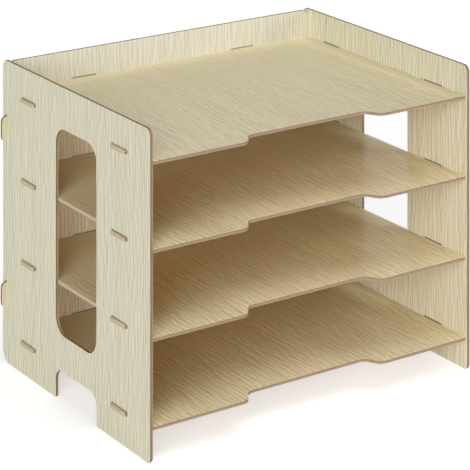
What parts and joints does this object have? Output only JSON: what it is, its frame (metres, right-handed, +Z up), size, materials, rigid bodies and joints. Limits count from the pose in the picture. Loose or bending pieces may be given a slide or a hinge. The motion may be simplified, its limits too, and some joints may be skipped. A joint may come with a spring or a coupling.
{
  "type": "document organizer",
  "caption": "Open desk organizer of slotted wood boards: stacked fixed shelves with front finger recesses between windowed side panels and a low back.",
  "frame": {"origin": "on the floor, under the middle of the body's outline", "axes": "+X across to the right as seen from the open front, +Y from the front to the back, +Z up"},
  "size_m": [0.34, 0.25, 0.268],
  "materials": {
    "panel_board": "satin",
    "shelf_board": "satin"
  },
  "bodies": {
    "root": {"left_side_panel": "panel_board", "right_side_panel": "panel_board", "back_panel": "panel_board", "bottom_shelf": "shelf_board", "lower_shelf": "shelf_board", "upper_shelf": "shelf_board", "top_shelf": "shelf_board"}
  },
  "joints": []
}
